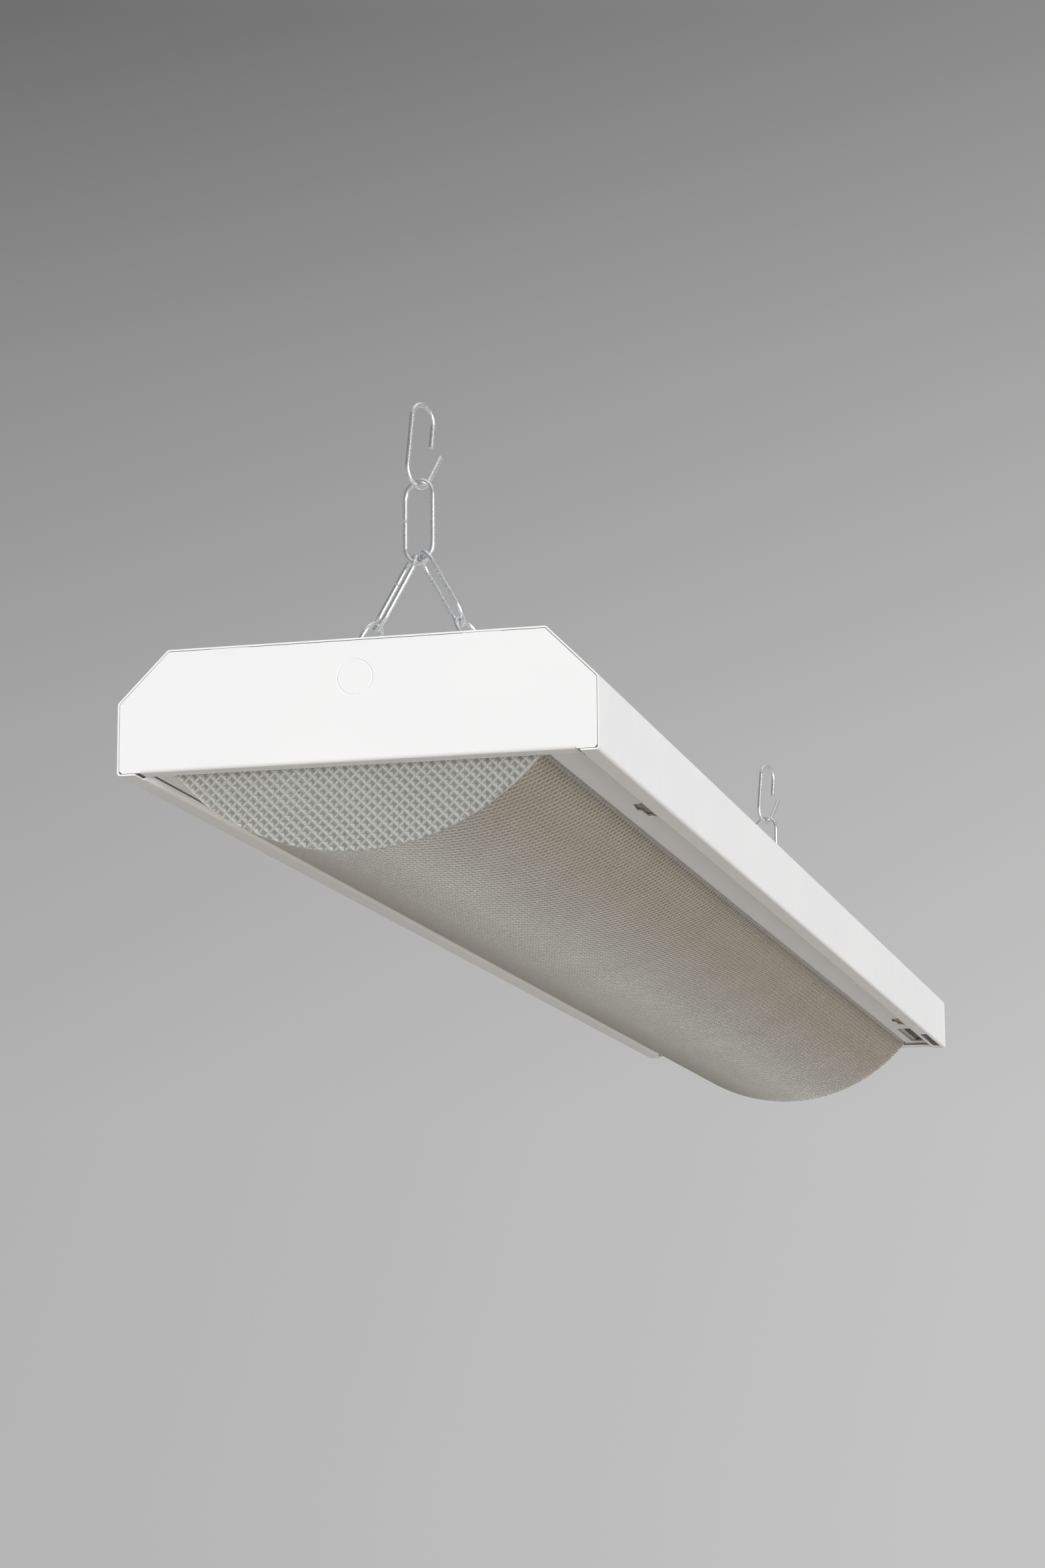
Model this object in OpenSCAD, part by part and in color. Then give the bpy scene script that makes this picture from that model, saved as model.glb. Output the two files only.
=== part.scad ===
// Hanging shop light: a folded sheet-steel housing on two short chain hangers, with two
// straight tube lamps over a bowed prismatic lens that swings down on one side.
// Millimetres. +X runs along the light, +Y to its left, +Z up. The origin lies midway
// between the two hanging hooks, at the height where they bear.

/* [Housing] */
// Length of the housing
housing_len = 1226; // [1180:1:1500]
// Width across the two side walls
housing_w = 240; // [236:1:280]
// Height from the bottom flange to the top
housing_h = 61.2; // [60:0.1:80]
// Sloping shoulder between wall and top, measured along each
shoulder = 25.4; // [15:0.1:28]
// Thickness of the housing sheet
sheet_t = 0.8; // [0.6:0.1:1.2]
// Bend radius at the middle of the sheet
bend_r = 1.4; // [1.2:0.1:2]
// Width of the bottom flange
flange_w = 11; // [10.5:0.1:12]
// Height of the lip at the inner edge of the bottom flange
lip_h = 3.2; // [2.8:0.1:4]
// Distance between the two screw holes for fixing to a ceiling
ceiling_hole_span = 800; // [400:1:900]
// Diameter of those screw holes
ceiling_hole_d = 6.5; // [4:0.1:8]

/* [End plates] */
// Thickness of an end plate
plate_t = 0.8; // [0.6:0.1:1.2]
// How far the bottom edge of an end plate folds back under
plate_fold = 11; // [8:0.5:12]
// Diameter of the knockouts in the end plates
knockout_d = 18.4; // [15:0.1:28]
// Height of the knockout in an end plate
knockout_z = 42; // [34:0.5:44]

/* [Lens] */
// How far the lens stops short of each end of the housing
lens_short = 12.5; // [12:0.5:40]
// How far the lens sits to the left of the middle
lens_shift = 3.5; // [0:0.1:4]
// Width of the bottom of each rail, were the lens in the middle
rail_w = 13.9; // [12:0.1:19]
// How far the lens bows down below the rails
lens_sag = 43.2; // [30:0.1:60]
// Thickness of the lens
lens_t = 2.2; // [1.5:0.1:3]

/* [Rails and hinges] */
// Thickness of the two rails that hold the lens
rail_t = 0.9; // [0.7:0.1:1]
// Distance from the far end at which the notch in the right rail starts
rail_notch_at = 106; // [100:1:140]
// Length of that notch
rail_notch_len = 83; // [20:1:85]
// Diameter of the hinge pins
hinge_pin_d = 1.8; // [1.4:0.1:2]
// Length of one hinge
hinge_len = 36; // [24:1:50]
// Distance of the near hinge from the near end
near_hinge_at = 174.5; // [100:1:300]
// Distance of the far hinge from the far end
far_hinge_at = 150; // [130:1:300]

/* [Lamps] */
// Distance from the middle of the light to each lamp
lamp_y = 41; // [38:0.5:46]
// How far the lamps lie below the top of the housing, inside
lamp_drop = 40.4; // [39:0.1:42]
// Diameter of a lamp tube
lamp_d = 25; // [16:0.5:26]
// Distance between the two pins of a lamp cap
pin_pitch = 12.7; // [8:0.1:13]
// Diameter of a lamp pin
pin_d = 2.35; // [1.8:0.05:2.6]
// Length of a lamp pin
pin_len = 7.1; // [5:0.1:8]
// Thickness of a lampholder
holder_t = 12; // [11:0.5:15]

/* [Ballast] */
// Length of the ballast
ballast_len = 230; // [150:1:300]
// Width of the ballast
ballast_w = 42; // [30:1:43]
// Height of the ballast
ballast_h = 29.5; // [20:0.5:30]

/* [Hangers] */
// Distance of each hanger from its end of the housing
hanger_at = 115; // [90:1:300]
// Diameter of the chain wire
wire_d = 2.7; // [2.4:0.05:2.8]
// Length of a chain link
link_len = 46; // [44:0.5:48]
// Width of a chain link
link_w = 21; // [20.5:0.1:22]
// Height of the hook's seat for the chain, above the bottom of the housing
hook_seat_z = 168.7; // [166:0.1:172]
// Direction in which the top chain link is wide, from the X axis
top_link_turn = 66; // [60:1:75]
// Length of the hook's long leg
hook_leg = 27; // [20:0.5:50]

/* [Hidden] */
$fn = 48;

near = -1;
far = 1;
left = 1;
right = -1;
half_len = housing_len / 2;
half_w = housing_w / 2;
bend_steps = 4;
over = 1;

// Gap kept between pieces that lie close to each other
clear = 0.3;
// Gap between parts that only lie against each other
seat_gap = 0.15;

// Sheet of the housing
housing_inner_top = housing_h - sheet_t;
lip_y = half_w - flange_w;
mitre = sqrt(2) - 1;
relief_len = plate_fold + 1.5;
flange_hole_len = 80;
flange_hole_w = 5.5;

// End plates: the outer face lies a little inside the mouth of the housing
plate_inset = 0.2;
plate_inner_x = half_len - plate_inset - plate_t;
plate_bottom = sheet_t + clear;
fold_reach = half_len - plate_inset - plate_fold;
knockout_groove = 0.3;
knockout_groove_w = 0.8;
tab_y = 63;
tab_w = 19;
tab_len = 17;
screw_from_end = 12.6;
screw_d = 3.5;
screw_head_d = 7;
screw_head_h = 2.2;

beside_ballast = 40;
supply_knockout_d = 22.2;
supply_knockout_x = ballast_len / 2 + beside_ballast + 35;

// Lens: an arc of a cylinder with a flat flange along each side, between the two rails
rail_out = lip_y - 0.7;
rail_gap = 1.3;
lens_half_w = rail_out - rail_w - rail_gap;
lens_len = housing_len - 2 * lens_short;
lens_r = (lens_half_w * lens_half_w + lens_sag * lens_sag) / (2 * lens_sag);
lens_axis_z = lip_h - lens_sag + lens_r;
lens_flange_z = lip_h + rail_t + seat_gap;
// Outer edges of its flanges; the right one stops short of the hinges
lens_left_out = lens_half_w + 10.8;
lens_right_out = lens_half_w + 7.4;
lens_top = lens_flange_z + lens_t;

// Rails: a channel along each side that holds the flange of the lens
function rail_in(side) = lens_half_w + side * lens_shift + rail_gap;
rail_top = lens_top + seat_gap + 0.1 + rail_t;
rail_return = 11.3;
rail_end = fold_reach - clear;
rail_notch_y = rail_out - 11.8;

// Hinge: knuckles round a pin, just inside the lip of the right flange
hinge_y = rail_out - 1.3;
hinge_z = lip_h + 1.3;
knuckle_d = 3.6;
knuckle_len = 8;
bracket_t = 0.9;
leaf_z = lip_h + rail_t + seat_gap;
leaf_in = hinge_y - 5.8;
leaf_out = hinge_y - 2.3;
leaf_half = hinge_len / 2 + 2;
leaf_neck = 8;
leaf_neck_y = hinge_y - 1.4;
leaf_slot_half = hinge_len / 2 - 1;
bracket_step_y = lip_y + 3.5;
catch_t = 0.3;
catch_len = 24;
near_hinge_x = -half_len + near_hinge_at;
far_hinge_x = half_len - far_hinge_at;

// Lamps and their holders
lamp_z = housing_inner_top - lamp_drop;
// The plates that close the lens reach up to just below the lamps
lens_end_top = min(lens_top - 0.95, lamp_z - lamp_d / 2 - 1.8);
holder_face_x = plate_inner_x - holder_t;
lamp_face_x = holder_face_x - 0.4;
holder_r = 11.5;
holder_top = lamp_z + 24;
rotor_r = pin_pitch / 2 + pin_d / 2 + 0.7;
rotor_len = 7.4;
rotor_front = 0.5;
cap_len = 9;
cap_wall = 0.35;
glass_t = 0.8;

// Channel cover: a shallow V over the ballast and the wires
cover_t = 0.6;
cover_flat = 9;
cover_low_z = housing_inner_top - ballast_h - 8.5;
cover_slope_y = half_w - shoulder - 19;
cover_edge_y = cover_slope_y + 10;
cover_end = holder_face_x - 2;
cover_screw_x = cover_end - 30;

// Chain links: a straight part and two half rings of round wire
wire_r = wire_d / 2;
ring_r = (link_w - wire_d) / 2;
hole_r = ring_r - wire_r;
leg_len = link_len - link_w;
link_reach = leg_len / 2 + hole_r;
link_gap = 0.35;
arm_gap = 0.6;
slot_gap = 0.9;
// How far apart the two arms hang along the curve of the top link, each way
arm_angle = 28;
// How far each link of an arm is turned from the length of the light
function arm_turn(side) = side == left ? 33 : 26;
function end_turn(side) = side == left ? -11 : -18;
hanger_x = half_len - hanger_at;
top_link_z = hook_seat_z + link_gap - link_reach;
top_ring_z = top_link_z - leg_len / 2;
slot_wire_z = housing_inner_top - slot_gap - wire_r;
arm_reach = (link_reach - wire_r - arm_gap) + (2 * link_reach - link_gap) + leg_len / 2 + ring_r;

// The hook: a chain link that has been opened, its upper half tilted
hook_tilt = 8;
hook_open = 33;
hook_splay = 18.5;
hook_tip = 12;
seam = 0.1;
seam_swell = 0.03;
hook_ring_z = hook_seat_z + hole_r;
hook_top_r = ring_r * 0.93;
hook_leg_x = -ring_r * cos(hook_tilt);
hook_leg_z = hook_ring_z + ring_r * sin(hook_tilt);
hook_top_x = hook_leg_x + hook_leg * sin(hook_tilt) + hook_top_r * cos(hook_tilt);
hook_top_z = hook_leg_z + hook_leg * cos(hook_tilt) - hook_top_r * sin(hook_tilt);
bearing_z = hook_top_z + hook_top_r - wire_r;

// ---- helpers for bent sheet -------------------------------------------------

function unit(v) = v / norm(v);
function turned(p, a) = [p.x * cos(a) - p.y * sin(a), p.x * sin(a) + p.y * cos(a)];

// Points of the arc that rounds the corner b between a and c
function corner(a, b, c, r) =
    let (
        u = unit(a - b),
        v = unit(c - b),
        half = acos(u * v) / 2,
        centre = b + unit(u + v) * r / sin(half),
        start = b + u * r / tan(half) - centre,
        side = sign(cross(b - a, c - b)))
    [for (i = [0:bend_steps]) centre + turned(start, side * (180 - 2 * half) * i / bend_steps)];

// The path with every inner corner rounded
function bent(path, r) = [
    path[0],
    for (i = [1:len(path) - 2]) each corner(path[i - 1], path[i], path[i + 1], r),
    path[len(path) - 1]];

function across(a, b) = let (d = unit(b - a)) [-d.y, d.x];

// Direction in which a path point moves when the path is shifted sideways
function shift_of(path, i) =
    i == 0 ? across(path[0], path[1]) :
    i == len(path) - 1 ? across(path[i - 1], path[i]) :
    let (m = across(path[i - 1], path[i]), n = across(path[i], path[i + 1]))
    (m + n) / (1 + m * n);

function strip_outline(path, t) = [
    for (i = [0:len(path) - 1]) path[i] + shift_of(path, i) * t / 2,
    for (i = [len(path) - 1:-1:0]) path[i] - shift_of(path, i) * t / 2];

// The cross-section of a sheet of thickness t, bent along the path
module bent_sheet(path, t, r) polygon(strip_outline(bent(path, r), t));

// A (y, z) section carried along X from x0 to x1
module along_x(x0, x1) translate([x0, 0, 0]) rotate([90, 0, 90]) linear_extrude(height = x1 - x0) children();

// An (x, z) section carried along Y, half of it on each side
module along_y(w) translate([0, w / 2, 0]) rotate([90, 0, 0]) linear_extrude(height = w) children();

module block(x0, x1, y0, y1, z0, z1) translate([x0, y0, z0]) cube([x1 - x0, y1 - y0, z1 - z0]);

// Everything is drawn from the bottom of the housing and lowered to hang from the origin
module hung() translate([0, 0, -bearing_z]) children();

// Draws its children at the near end, or turned end for end at the far end
module at_end(end) {
    if (end == near) children();
    else mirror([1, 0, 0]) children();
}

module on_side(side) {
    if (side == left) children();
    else mirror([0, 1, 0]) children();
}

// ---- hangers ----------------------------------------------------------------

function hanger_place(end) = [end * hanger_x, 0, 0];

// Part of a wire ring in the XZ plane, starting at an angle from +X
module ring_part(r, from, sweep)
    rotate([90, 0, 0]) rotate([0, 0, from]) rotate_extrude(angle = sweep) translate([r, 0]) circle(d = wire_d);

module wire_leg(z0, z1) translate([0, 0, z0]) cylinder(d = wire_d, h = z1 - z0);

// A straight length of the hook, from one bend to the next
module hook_part(z0, z1) translate([0, 0, z0]) cylinder(d = wire_d, h = z1 - z0);

// The joint between a straight length and a bend, a hair fuller than the wire
module seam_at(x, z) translate([x, 0, z]) sphere(d = wire_d + 2 * seam_swell);

// A chain link in the XZ plane with a butt gap in one leg
module link(gap_side, gap_z, gap_w) {
    translate([0, 0, leg_len / 2]) ring_part(ring_r, 0, 180);
    translate([0, 0, -leg_len / 2]) ring_part(ring_r, 180, 180);
    translate([-gap_side * ring_r, 0, 0]) wire_leg(-leg_len / 2, leg_len / 2);
    translate([gap_side * ring_r, 0, 0]) {
        wire_leg(-leg_len / 2, gap_z - gap_w / 2);
        wire_leg(gap_z + gap_w / 2, leg_len / 2);
    }
}

module hook(end) color("silver") hung() translate(hanger_place(end)) rotate([0, 0, top_link_turn - 90]) {
    tip_x = hook_top_x + hook_top_r * cos(hook_tilt);
    tip_z = hook_top_z - hook_top_r * sin(hook_tilt);
    open_x = ring_r * cos(hook_open);
    open_z = hook_ring_z - ring_r * sin(hook_open);
    translate([0, 0, hook_ring_z]) ring_part(ring_r, 180 - hook_tilt, 180 + hook_tilt - hook_open);
    translate([open_x, 0, open_z]) rotate([0, hook_open, 0]) hook_part(seam, hook_splay);
    translate([hook_leg_x, 0, hook_leg_z]) rotate([0, hook_tilt, 0]) hook_part(seam, hook_leg - seam);
    translate([hook_top_x, 0, hook_top_z]) ring_part(hook_top_r, -hook_tilt, 180);
    translate([tip_x, 0, tip_z]) rotate([0, hook_tilt, 0]) hook_part(-hook_tip, -seam);
    seam_at(open_x, open_z);
    seam_at(hook_leg_x, hook_leg_z);
    seam_at(hook_leg_x + hook_leg * sin(hook_tilt), hook_leg_z + hook_leg * cos(hook_tilt));
    seam_at(tip_x, tip_z);
}

module top_link(end) color("silver") hung() translate(hanger_place(end) + [0, 0, top_link_z])
    rotate([0, 0, top_link_turn]) link(1, 1.5, 1.2);

// Where the arm on one side crosses the wire of the top link, and where its last
// ring passes under the housing top, both from the foot of the hanger's axis
function arm_start(side) =
    let (out = side * ring_r * sin(arm_angle))
    [out * cos(top_link_turn), out * sin(top_link_turn), top_ring_z - ring_r * cos(arm_angle)];
function arm_foot_y(side) =
    let (s = arm_start(side))
    s.y + side * sqrt(arm_reach * arm_reach - s.x * s.x - pow(s.z - slot_wire_z, 2));
function arm_dir(side) = unit([0, arm_foot_y(side), slot_wire_z] - arm_start(side));
arm_link_at = link_reach - wire_r - arm_gap;
end_link_at = arm_link_at + 2 * link_reach - link_gap;

// Puts a link along an arm, at a distance down it, wide in the direction of turn
module on_arm(side, distance, turn) {
    down = arm_dir(side);
    flat = [cos(turn), sin(turn), 0];
    wide = unit(flat - (flat * down) * down);
    thick = cross(-down, wide);
    at = arm_start(side) + distance * down;
    multmatrix([
        [wide.x, thick.x, -down.x, at.x],
        [wide.y, thick.y, -down.y, at.y],
        [wide.z, thick.z, -down.z, at.z],
        [0, 0, 0, 1]]) children();
}

module arm_link(end, side) color("silver") hung() translate(hanger_place(end))
    on_arm(side, arm_link_at, arm_turn(side)) link(side, 5, 0.8);

module end_link(end, side) color("silver") hung() translate(hanger_place(end))
    on_arm(side, end_link_at, end_turn(side)) link(-side, -3, 0.8);

// ---- housing ----------------------------------------------------------------

// Middle line of the folded sheet, from the left lip over the top to the right lip
function housing_path() =
    let (
        e = sheet_t / 2,
        lip = lip_y + e,
        wall = half_w - e,
        wall_top = housing_h - shoulder - e * mitre,
        top = half_w - shoulder - e * mitre,
        z_top = housing_h - e)
    [[lip, lip_h], [lip, e], [wall, e], [wall, wall_top], [top, z_top],
     [-top, z_top], [-wall, wall_top], [-wall, e], [-lip, e], [-lip, lip_h]];

// A round groove that outlines a knockout, cut into the face at z = 0 and below
module knockout_outline(d) difference() {
    translate([0, 0, -knockout_groove]) cylinder(d = d, h = knockout_groove + over);
    translate([0, 0, -over]) cylinder(d = d - 2 * knockout_groove_w, h = 3 * over);
}

// The two slots through which the last link of an arm hooks round the sheet between them
slot_strip = 3.6;
slot_out = 12;
slot_half_y = 7.2;
function slot_y(side) =
    let (d = arm_dir(side), up = (slot_wire_z - (housing_h - sheet_t / 2)) / d.z)
    arm_foot_y(side) - up * d.y;

module hanger_slots() {
    for (end = [near, far], side = [left, right], half = [-1, 1]) {
        x_mid = end * hanger_x + half * (slot_out + slot_strip / 2) / 2;
        half_x = (slot_out - slot_strip / 2) / 2;
        block(x_mid - half_x, x_mid + half_x, slot_y(side) - slot_half_y, slot_y(side) + slot_half_y,
            housing_inner_top - over, housing_h + over);
    }
}

module end_screw_places() for (end = [near, far], side = [left, right])
    translate([end * (half_len - screw_from_end), side * tab_y, 0]) children();

module cover_screw_places() for (end = [near, far], side = [left, right])
    translate([end * cover_screw_x, side * (cover_slope_y + 5), 0]) children();

module ballast_screw_places() for (end = [near, far])
    translate([end * (ballast_len / 2 + 5.5), 0, 0]) children();

module housing() color("white") hung() difference() {
    along_x(-half_len, half_len) bent_sheet(housing_path(), sheet_t, bend_r);
    // The lips stop short of the end plates
    for (end = [near, far], side = [left, right]) {
        x0 = end == near ? -half_len - over : half_len - relief_len;
        y_in = lip_y - over;
        y_out = lip_y + bend_r + sheet_t / 2;
        block(x0, x0 + relief_len + over, side == left ? y_in : -y_out, side == left ? y_out : -y_in, -over, lip_h + over);
    }
    // Opening in the right flange at the far end
    block(half_len - relief_len - flange_hole_len, half_len - relief_len,
        -lip_y - 3 - flange_hole_w, -lip_y - 3, -over, sheet_t + over);
    hanger_slots();
    for (end = [near, far])
        translate([end * ceiling_hole_span / 2, 0, housing_inner_top - over])
            cylinder(d = ceiling_hole_d, h = sheet_t + 2 * over);
    translate([supply_knockout_x, 0, housing_h]) knockout_outline(supply_knockout_d);
    end_screw_places() translate([0, 0, housing_inner_top - over]) cylinder(d = screw_d + 0.2, h = 3 * over);
    cover_screw_places() translate([0, 0, housing_inner_top - over]) cylinder(d = screw_d + 0.2, h = 3 * over);
    ballast_screw_places() translate([0, 0, housing_inner_top - over]) cylinder(d = screw_d + 0.2, h = 3 * over);
}

// Outline of an end plate in (y, z), a little smaller than the inside of the housing
module plate_outline() {
    in = sheet_t + clear;
    w = half_w - in;
    w_top = half_w - shoulder - in * mitre;
    z_wall = housing_h - shoulder - in * mitre;
    z_top = housing_h - in;
    bevel = bend_r;
    polygon([[w - bevel, plate_bottom], [w, plate_bottom + bevel], [w, z_wall], [w_top, z_top],
        [-w_top, z_top], [-w, z_wall], [-w, plate_bottom + bevel], [-w + bevel, plate_bottom]]);
}

module end_plate(end) color("white") hung() at_end(end) {
    x_out = -half_len + plate_inset;
    x_mid = x_out + plate_t / 2;
    fold_w = 2 * (lip_y - clear);
    fold_z = plate_bottom + plate_t / 2;
    difference() {
        along_x(x_out, x_out + plate_t) plate_outline();
        block(x_out - over, x_out + plate_t + over, -fold_w / 2, fold_w / 2, 0, fold_z + bend_r);
        translate([x_out, 0, knockout_z]) rotate([0, -90, 0]) knockout_outline(knockout_d);
    }
    // The bottom edge folds back under the housing
    along_y(fold_w) bent_sheet([[x_mid, fold_z + bend_r + over], [x_mid, fold_z], [-fold_reach, fold_z]], plate_t, bend_r);
    // Two tabs at the top take the screws
    for (side = [left, right]) difference() {
        block(x_out, x_out + tab_len, side * tab_y - tab_w / 2, side * tab_y + tab_w / 2,
            housing_inner_top - seat_gap - plate_t, housing_inner_top - seat_gap);
        translate([-half_len + screw_from_end, side * tab_y, housing_inner_top - seat_gap - plate_t - over])
            cylinder(d = screw_d + 0.1, h = plate_t + 2 * over);
    }
}

// A pan-head screw with its seat at z = 0 and its point downwards
module screw(length) {
    translate([0, 0, -length]) cylinder(d = screw_d, h = length + screw_head_h / 2);
    difference() {
        cylinder(d1 = screw_head_d, d2 = screw_head_d * 0.8, h = screw_head_h, $fn = 32);
        for (a = [0, 90]) rotate([0, 0, a])
            translate([-screw_head_d * 0.3, -0.4, screw_head_h - 0.9]) cube([screw_head_d * 0.6, 0.8, over + 0.9]);
    }
}

module end_plate_screws() color("gainsboro") hung()
    end_screw_places() translate([0, 0, housing_h]) screw(5.5);

// ---- inside the housing -----------------------------------------------------

ballast_foot_t = 1.2;

module ballast() color("lightgray") hung() {
    z_top = housing_inner_top;
    // Case with its long lower edges bevelled
    bevel = 2;
    w = ballast_w / 2;
    z_low = z_top - ballast_h;
    along_x(-ballast_len / 2, ballast_len / 2)
        polygon([[-w, z_top], [-w, z_low + bevel], [-w + bevel, z_low], [w - bevel, z_low], [w, z_low + bevel], [w, z_top]]);
    difference() {
        block(-ballast_len / 2 - 11, ballast_len / 2 + 11, -w + 4, w - 4, z_top - ballast_foot_t, z_top);
        ballast_screw_places() translate([0, 0, z_top - ballast_foot_t - over])
            cylinder(d = screw_d + 0.4, h = ballast_foot_t + 2 * over);
    }
}

module ballast_screws() color("gainsboro") hung()
    ballast_screw_places() translate([0, 0, housing_inner_top - ballast_foot_t])
        mirror([0, 0, 1]) screw(ballast_foot_t + sheet_t);

module channel_cover() color("white") hung() {
    z_edge = housing_inner_top - seat_gap - cover_t / 2;
    path = [
        [-cover_edge_y, z_edge], [-cover_slope_y, z_edge], [-cover_flat, cover_low_z],
        [cover_flat, cover_low_z], [cover_slope_y, z_edge], [cover_edge_y, z_edge]];
    difference() {
        along_x(-cover_end, cover_end) bent_sheet(path, cover_t, bend_r);
        cover_screw_places() translate([0, 0, z_edge - over]) cylinder(d = screw_d + 0.2, h = 2 * over);
    }
}

module cover_screws() color("gainsboro") hung()
    cover_screw_places() translate([0, 0, housing_inner_top - seat_gap - cover_t])
        mirror([0, 0, 1]) screw(cover_t + seat_gap + sheet_t);

module at_lamp(side) translate([0, side * lamp_y, lamp_z]) children();

// A lampholder at the near end: a block with a round seat for the rotor and a slot
// below it through which the lamp pins are lifted in
module lampholder(end, side) color("whitesmoke") hung() at_end(end) difference() {
    at_lamp(side) {
        x0 = -plate_inner_x;
        translate([x0, 0, 0]) rotate([0, 90, 0]) cylinder(r = holder_r, h = holder_t);
        block(x0, x0 + holder_t, -holder_r, holder_r, 0, holder_top - lamp_z);
        // Shoulders where the holder is pushed into the end plate
        block(x0, x0 + 3, -holder_r - 2, holder_r + 2, 6, holder_top - lamp_z - 4);
    }
    at_lamp(side) {
        face = -holder_face_x;
        translate([face - rotor_front - rotor_len - clear, 0, 0]) rotate([0, 90, 0])
            cylinder(r = rotor_r + clear, h = rotor_len + rotor_front + clear + over);
        block(face - rotor_front - rotor_len - clear, face + over, -pin_d / 2 - 0.6, pin_d / 2 + 0.6,
            -holder_r - over, 0);
    }
}

// The slotted disc that grips the two pins and turns with the lamp
module rotor(end, side) color("ivory") hung() at_end(end) at_lamp(side) {
    face = -holder_face_x - rotor_front;
    difference() {
        translate([face - rotor_len, 0, 0]) rotate([0, 90, 0]) cylinder(r = rotor_r, h = rotor_len);
        block(face - rotor_len + 1, face + over, -rotor_r - over, rotor_r + over, -pin_d / 2 - 0.1, pin_d / 2 + 0.1);
    }
}

module lamp_tube(side) color("white") hung() at_lamp(side) {
    reach = lamp_face_x - 1;
    translate([-reach, 0, 0]) rotate([0, 90, 0]) difference() {
        cylinder(d = lamp_d, h = 2 * reach);
        translate([0, 0, -over]) cylinder(d = lamp_d - 2 * glass_t, h = 2 * reach + 2 * over);
    }
}

module lamp_caps(side) color("silver") hung() for (end = [near, far]) at_end(end) at_lamp(side)
    translate([-lamp_face_x, 0, 0]) rotate([0, 90, 0]) difference() {
        cylinder(d = lamp_d + 2 * cap_wall + 0.1, h = cap_len);
        translate([0, 0, 1]) cylinder(d = lamp_d + 0.1, h = cap_len);
        for (pin = [-1, 1]) translate([0, pin * pin_pitch / 2, -over]) cylinder(d = pin_d, h = 3 * over);
    }

module lamp_pins(side) color("gold") hung() for (end = [near, far], pin = [-1, 1]) at_end(end) at_lamp(side)
    translate([-lamp_face_x - pin_len, pin * pin_pitch / 2, 0]) rotate([0, 90, 0]) cylinder(d = pin_d, h = pin_len + 2);

// Leads from each end of the ballast to the two lampholders there: along the light,
// across to the holder and down into its top
lead_d = 2.4;
lead_y = 9;
lead_z = holder_top + 9;
lead_bend = 5;

module lead_elbow() rotate_extrude(angle = 90) translate([lead_bend, 0]) circle(d = lead_d);
module lead_run(len) rotate([0, 90, 0]) cylinder(d = lead_d, h = len);

module lead(end, side) at_end(end) on_side(side) {
    x_start = -ballast_len / 2;
    x_holder = -plate_inner_x + holder_t / 2;
    y_holder = lamp_y - 6;
    translate([x_holder + lead_bend, lead_y, lead_z]) lead_run(x_start - x_holder - lead_bend);
    translate([x_holder + lead_bend, lead_y + lead_bend, lead_z]) rotate([0, 0, 180]) lead_elbow();
    translate([x_holder, lead_y + lead_bend, lead_z]) rotate([0, 0, 90]) lead_run(y_holder - lead_y - 2 * lead_bend);
    translate([x_holder, y_holder - lead_bend, lead_z - lead_bend]) rotate([90, 0, 90]) lead_elbow();
    translate([x_holder, y_holder, lead_z - lead_bend]) rotate([0, 90, 0]) lead_run(lead_z - lead_bend - holder_top);
}

module lamp_leads() color("khaki") hung() for (end = [near, far], side = [left, right]) lead(end, side);

// Three push-on connectors that join the ballast to the supply wires, laid on the cover
connector_d = 8;
connector_len = 20;

module wire_connectors() color("orange") hung() for (i = [0:2])
    translate([supply_knockout_x - 36 + 26 * i, 0, cover_low_z + cover_t / 2 + connector_d / 2 + 0.1])
        rotate([0, 90, 0]) {
            cylinder(d1 = connector_d, d2 = connector_d * 0.7, h = connector_len);
            for (a = [0, 180]) rotate([0, 0, a])
                translate([-0.6, -connector_d / 2 - 1.6, 0]) cube([1.2, 3, connector_len * 0.3]);
        }

module ground_screw() color("green") hung()
    translate([-ballast_len / 2 - beside_ballast, 0, housing_inner_top]) mirror([0, 0, 1]) {
        cylinder(d = 9, h = 1);
        translate([0, 0, 1]) cylinder(d = 7.5, h = 3.2, $fn = 6);
    }

// ---- lens, rails and hinges -------------------------------------------------

module lens_cylinder(r, x0, x1) translate([x0, 0, lens_axis_z]) rotate([0, 90, 0]) cylinder(r = r, h = x1 - x0, $fn = 180);

module lens() color("lightgray") hung() translate([0, lens_shift, 0]) {
    x = lens_len / 2;
    // The bowed part, cut off level with the top of the flanges
    difference() {
        lens_cylinder(lens_r, -x, x);
        lens_cylinder(lens_r - lens_t, -x - over, x + over);
        block(-x - over, x + over, -2 * lens_r, 2 * lens_r, lens_top, lens_axis_z + lens_r + over);
    }
    for (side = [left, right]) on_side(side) difference() {
        out = side == left ? lens_left_out : lens_right_out;
        block(-x, x, lens_half_w - 1.5, out - side * lens_shift, lens_flange_z, lens_top);
        lens_cylinder(lens_r - lens_t / 2, -x - over, x + over);
    }
}

module lens_end(end) color("lightgray") hung() at_end(end) translate([0, lens_shift, 0]) difference() {
    lens_cylinder(lens_r - lens_t - 0.05, -lens_len / 2, -lens_len / 2 + lens_t);
    block(-half_len, half_len, -2 * lens_r, 2 * lens_r, lens_end_top, lens_axis_z + lens_r + over);
}

// Section of a rail, drawn on the left: under the lens flange, up beside it and back over it
module rail_section(side) {
    e = rail_t / 2;
    bent_sheet([[rail_in(side), lip_h + e], [rail_out - e, lip_h + e], [rail_out - e, rail_top - e],
        [rail_out - rail_return, rail_top - e]], rail_t, rail_t);
}

module left_rail() color("white") hung() along_x(-rail_end, rail_end) rail_section(left);

module at_hinges() for (x = [near_hinge_x, far_hinge_x]) translate([x, 0, 0]) children();

module hinge_rod(d, x0, x1) translate([x0, -hinge_y, hinge_z]) rotate([0, 90, 0]) cylinder(d = d, h = x1 - x0);

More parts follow.
